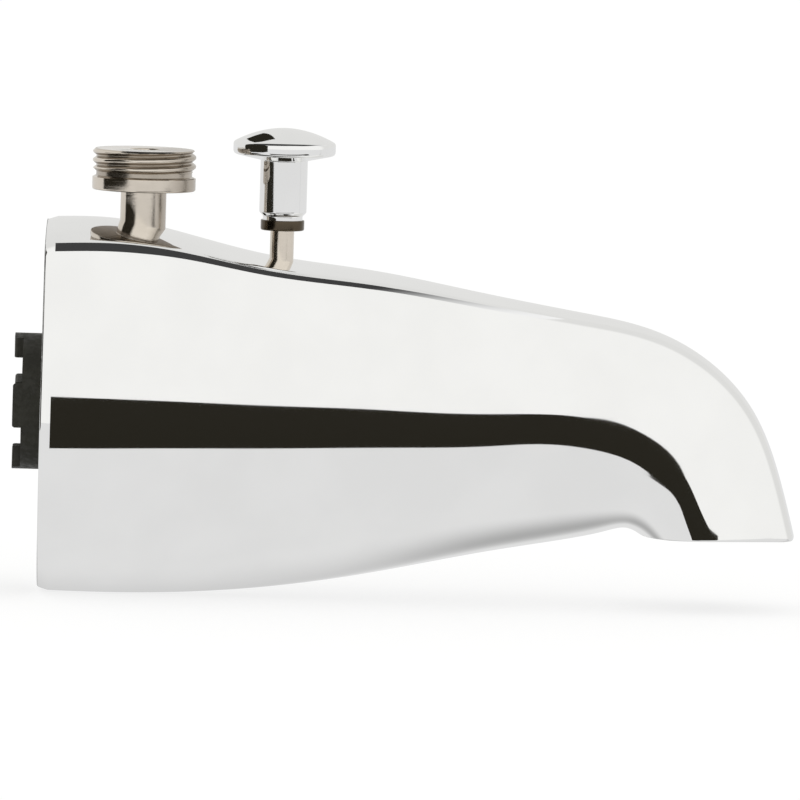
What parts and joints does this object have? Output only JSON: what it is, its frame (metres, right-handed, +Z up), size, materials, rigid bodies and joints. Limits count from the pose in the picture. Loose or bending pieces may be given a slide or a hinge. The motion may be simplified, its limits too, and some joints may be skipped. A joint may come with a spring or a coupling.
{
  "type": "bath spout",
  "caption": "Cast wall bath spout with a crowned top and curved nose, a lift knob that diverts the water, and a threaded top outlet for a hand shower hose.",
  "frame": {"origin": "on the inlet axis, in the plane of the rear rim that meets the wall", "axes": "+X from the wall to the nose along the inlet axis, +Z up, +Y to the left seen from the wall"},
  "size_m": [0.1579, 0.0656, 0.0946],
  "materials": {
    "chrome_cast": "polished",
    "chrome_knob": "polished",
    "nickel": "polished",
    "black_plastic": "matte",
    "white_plastic": "satin",
    "black_rubber": "matte"
  },
  "bodies": {
    "spout": {"spout_body": "chrome_cast", "inlet_bushing": "black_plastic", "inlet_washer": "black_rubber", "hose_nipple": "nickel", "nipple_seal": "black_rubber"},
    "diverter": {"diverter_knob": "chrome_knob", "diverter_rod": "nickel", "rod_seal": "black_rubber", "diverter_gate": "white_plastic", "gate_washer": "black_rubber"}
  },
  "joints": [
    {"name": "diverter_lift", "type": "slide", "parent": "spout", "child": "diverter", "axis": [0, 0, 1], "range_m": [0, 0.014]}
  ]
}
